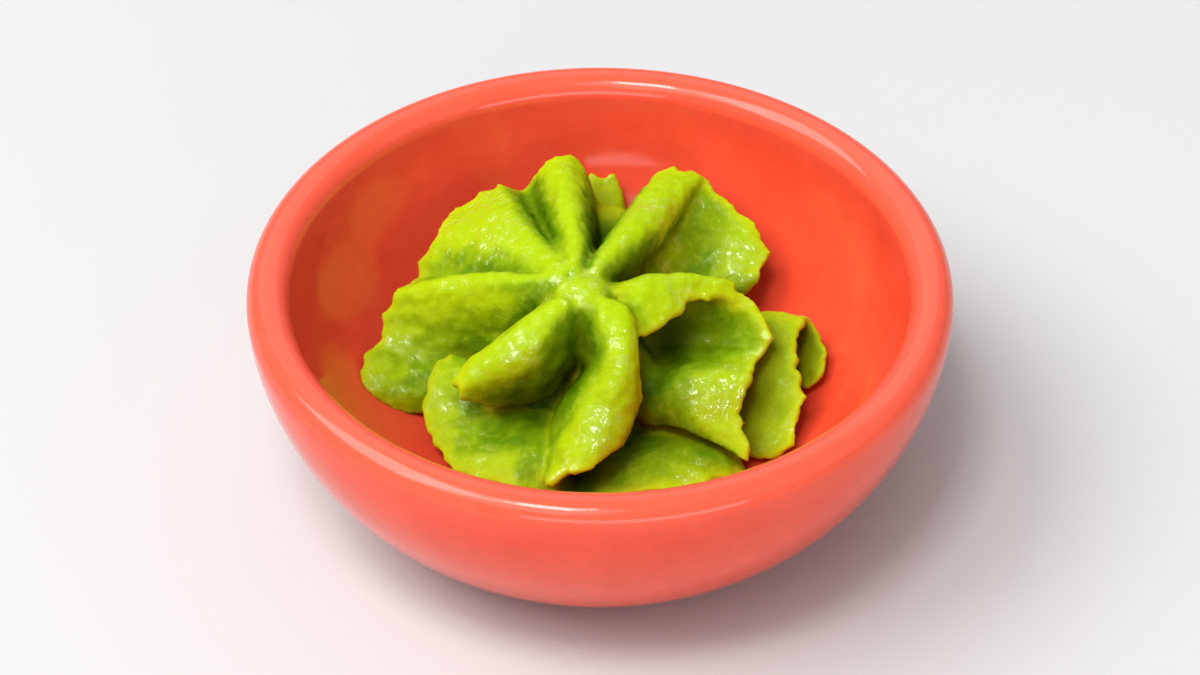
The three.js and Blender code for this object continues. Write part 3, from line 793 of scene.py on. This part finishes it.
def glaze_material():
    """Coral red glaze, thinner and lighter on the lip, and the bare clay of the foot ring."""
    n = Nodes("coral_glaze")
    place = n.add("TexCoord").outputs["Object"]
    height = n.add("SeparateXYZ", Vector=place).outputs["Z"]
    cloud = n.noise(9, 3, place)
    fine = n.noise(1.6, 4, place)
    tone = n.ramp(cloud, [(0.3, GLAZE_DEEP), (0.7, GLAZE)])
    pale = n.band(height, PALE_LIP, 0.5)
    tone = n.mix(pale, tone, (*GLAZE_THIN, 1))
    speck = n.ramp(fine, [(0.3, 0.94), (0.6, 1.0)])
    tone = n.mix(1.0, tone, speck, "MULTIPLY")
    clay = n.ramp(n.noise(0.7, 5, place), [(0.3, CLAY_DARK), (0.7, CLAY)])
    bare = n.band(height, BARE_CLAY, 1.0)
    n.feed(n.shader.inputs["Base Color"], n.mix(bare, tone, clay))
    gloss = n.ramp(cloud, [(0.3, 0.10), (0.7, 0.15)])
    n.feed(n.shader.inputs["Roughness"], n.mix(bare, gloss, (0.85, 0.85, 0.85, 1)))
    ripple = n.bump(n.noise(6, 2, place), 0.06)
    pits = n.bump(fine, 0.012, under=ripple)
    n.feed(n.shader.inputs["Normal"], pits)
    n.shader.inputs["Specular IOR Level"].default_value = 0.35
    return n.material


def paste_material():
    """Wet green paste, painted yellower with the glow of light shining through where it is torn
    thin, and painted deeper green with shade in its valleys.
    """
    n = Nodes("wasabi_paste")
    place = n.add("TexCoord").outputs["Object"]
    # "edge" places the painted glow of light through thin paste, and "sky" drives the painted
    # shade.
    edge = n.add("Attribute", {"attribute_name": "edge"}).outputs["Fac"]
    sky = n.add("Attribute", {"attribute_name": "sky"}).outputs["Fac"]
    patch = n.add("Attribute", {"attribute_name": "wet"}).outputs["Fac"]
    cloud = n.noise(5, 2, place)
    film = n.ramp(n.noise(3.2, 3, place), [(0.5, 0.03), (0.66, 0.7)])
    drops = n.ramp(n.noise(0.9, 2, place), [(0.48, 0.1), (0.58, 1.0)])
    # Painted shade: the paste darkens from its open ridges to its valleys by the share of sky each
    # vertex sees.
    depths = [(0.2, PASTE_PAINTED_VALLEY_SHADE), (0.78, PASTE_SHADE), (0.92, PASTE_PAINTED_FACE_SHADE), (1.0, PASTE)]
    green = n.ramp(sky, depths)
    green = n.mix(n.ramp(cloud, [(0.45, 0.0), (0.7, 0.3)]), green, (*PASTE_PALE, 1))
    # Painted glow: yellow light shining through the paste at its thin torn edges and thin folds.
    green = n.mix(n.math("MULTIPLY", edge, 0.6), green, (*PASTE_PAINTED_GLOW, 1))
    open_sky = n.ramp(sky, [(0.5, 0.0), (0.85, 1.0)])
    # Lighter fibres of the paste, shown only where it is open to the sky, so they fade out under
    # the painted shade in hollows.
    flecks = n.ramp(n.noise(0.9, 4, place), [(0.45, 0.0), (0.75, 0.28)])
    green = n.mix(n.math("MULTIPLY", flecks, open_sky), green, (*PASTE_FLECK, 1))
    n.feed(n.shader.inputs["Base Color"], green)
    n.shader.inputs["Roughness"].default_value = 0.5
    n.shader.inputs["Specular IOR Level"].default_value = 0.05
    grains = n.bump(n.noise(0.35, 3, place), 0.07)
    specks = n.bump(n.noise(0.8, 2, place), 0.4, under=grains)
    n.feed(n.shader.inputs["Normal"], grains)
    wet = n.math("MAXIMUM", n.math("MULTIPLY", film, open_sky), patch)
    n.feed(n.shader.inputs["Coat Weight"], n.math("MULTIPLY", wet, drops))
    n.shader.inputs["Coat IOR"].default_value = 1.8
    n.shader.inputs["Coat Roughness"].default_value = 0.07
    n.feed(n.shader.inputs["Coat Normal"], specks)
    n.shader.inputs["Subsurface Weight"].default_value = 0.5
    n.shader.inputs["Subsurface Radius"].default_value = (0.7, 1.0, 0.05)
    n.shader.inputs["Subsurface Scale"].default_value = 0.9 * MM
    return n.material


def floor_material():
    """A matt, pale sweep of studio paper."""
    n = Nodes("pale_sweep")
    tone = n.ramp(n.noise(60, 2), [(0.3, FLOOR_TONE * 0.995), (0.7, FLOOR_TONE)])
    n.feed(n.shader.inputs["Base Color"], tone)
    n.shader.inputs["Roughness"].default_value = 0.9
    n.shader.inputs["Specular IOR Level"].default_value = 0.1
    return n.material


# ------------------------------------------------------------------ stage


def look_at(item, target):
    """Turns a camera or a light towards a point."""
    direction = Vector(target) - item.location
    item.rotation_mode = "QUATERNION"
    item.rotation_quaternion = direction.to_track_quat("-Z", "Y")


def add_floor():
    """A level floor far wider than the picture."""
    corners = np.array([(-1, -1, 0), (1, -1, 0), (1, 1, 0), (-1, 1, 0)]) * FLOOR_HALF
    floor = new_object("floor", corners / MM, [(0, 1, 2, 3)])
    floor.data.materials.append(floor_material())


def add_light():
    """Softboxes round the bowl, and a dim, even world."""
    for name, spot, size, power in SOFTBOXES:
        light = bpy.data.lights.new(name, "AREA")
        light.shape = "RECTANGLE"
        light.size, light.size_y = size
        light.energy = power
        softbox = bpy.data.objects.new(name, light)
        softbox.location = spot
        bpy.context.scene.collection.objects.link(softbox)
        look_at(softbox, LIGHT_TARGET)
    world = bpy.data.worlds.new("studio")
    world.use_nodes = True
    background = world.node_tree.nodes["Background"]
    background.inputs["Color"].default_value = (*WORLD_COLOUR, 1)
    background.inputs["Strength"].default_value = WORLD_STRENGTH
    bpy.context.scene.world = world


def add_camera():
    """Looks down on the bowl from the front, 450 mm away."""
    elevation = math.radians(CAMERA_ELEVATION)
    lens = bpy.data.cameras.new("camera")
    lens.sensor_width = SENSOR_WIDTH
    lens.lens = CAMERA_LENS
    lens.clip_start = 0.01
    camera = bpy.data.objects.new("camera", lens)
    away = Vector((0, -math.cos(elevation), math.sin(elevation))) * CAMERA_DISTANCE
    camera.location = Vector((0, 0, BOWL_HEIGHT / 2 * MM)) + away
    look_at(camera, (0, 0, CAMERA_TARGET_HEIGHT))
    bpy.context.scene.collection.objects.link(camera)
    bpy.context.scene.camera = camera


# ------------------------------------------------------------------ scene

bowl = make_bowl()
bowl.data.materials.append(glaze_material())
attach(bowl, "root")
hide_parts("bowl")

rosette = make_rosette()
rosette.data.materials.clear()
rosette.data.materials.append(paste_material())
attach(rosette, "root")
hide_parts("wasabi_rosette")

add_floor()
add_light()
add_camera()
bpy.context.scene.view_settings.view_transform = "Standard"
